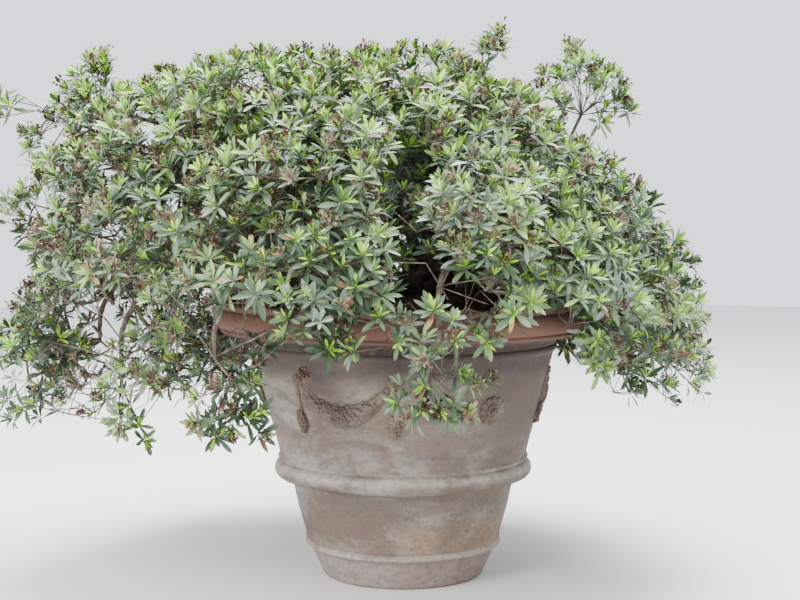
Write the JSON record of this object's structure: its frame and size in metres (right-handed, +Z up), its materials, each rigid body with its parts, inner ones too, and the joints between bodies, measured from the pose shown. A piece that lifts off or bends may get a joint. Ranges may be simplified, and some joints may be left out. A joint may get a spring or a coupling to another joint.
{
  "type": "potted azalea",
  "caption": "Spreading evergreen azalea just after flowering, its whorled twigs drooping over the rim of a large terracotta pot with garlands in relief.",
  "frame": {"origin": "centre of the pot's flat underside, which stands on the ground", "axes": "+Z up through the pot's axis, -Y towards the front of the view, +X to the right"},
  "size_m": [1.5456, 1.3587, 1.1174],
  "materials": {
    "terracotta": "matte weathered terracotta with a pale lime bloom and darker stains under the rim",
    "relief": "matte moulded terracotta, stained darker in its hollows",
    "soil": "dark crumbly potting soil",
    "bark": "rough grey-brown bark",
    "foliage": "slightly glossy leaves on grey-brown twigs"
  },
  "bodies": {
    "root": {"pot": "terracotta", "soil": "soil", "garland_1": "relief", "garland_2": "relief", "garland_3": "relief", "tassel_1": "relief", "tassel_2": "relief", "tassel_3": "relief", "tassel_4": "relief", "tassel_5": "relief", "tassel_6": "relief", "rosette_1": "relief", "rosette_2": "relief", "rosette_3": "relief", "trunk": "bark", "bough_leader_1": "bark", "bough_upper_1": "bark", "bough_upper_2": "bark", "bough_upper_3": "bark", "bough_upper_4": "bark", "bough_upper_5": "bark", "bough_spreading_1": "bark", "bough_spreading_2": "bark", "bough_spreading_3": "bark", "bough_spreading_4": "bark", "bough_spreading_5": "bark", "bough_spreading_6": "bark", "bough_spreading_7": "bark", "bough_spreading_8": "bark", "branch_hanging_1": "bark", "branch_hanging_2": "bark", "branch_hanging_3": "bark", "branch_hanging_4": "bark", "branch_hanging_5": "bark", "branch_hanging_6": "bark", "branch_hanging_7": "bark", "foliage_leader_1": "foliage", "foliage_upper_1": "foliage", "foliage_upper_2": "foliage", "foliage_upper_3": "foliage", "foliage_upper_4": "foliage", "foliage_upper_5": "foliage", "foliage_spreading_1": "foliage", "foliage_spreading_2": "foliage", "foliage_spreading_3": "foliage", "foliage_spreading_4": "foliage", "foliage_spreading_5": "foliage", "foliage_spreading_6": "foliage", "foliage_spreading_7": "foliage", "foliage_spreading_8": "foliage", "foliage_hanging_1": "foliage", "foliage_hanging_2": "foliage", "foliage_hanging_3": "foliage", "foliage_hanging_4": "foliage", "foliage_hanging_5": "foliage", "foliage_hanging_6": "foliage", "foliage_hanging_7": "foliage"}
  },
  "joints": []
}
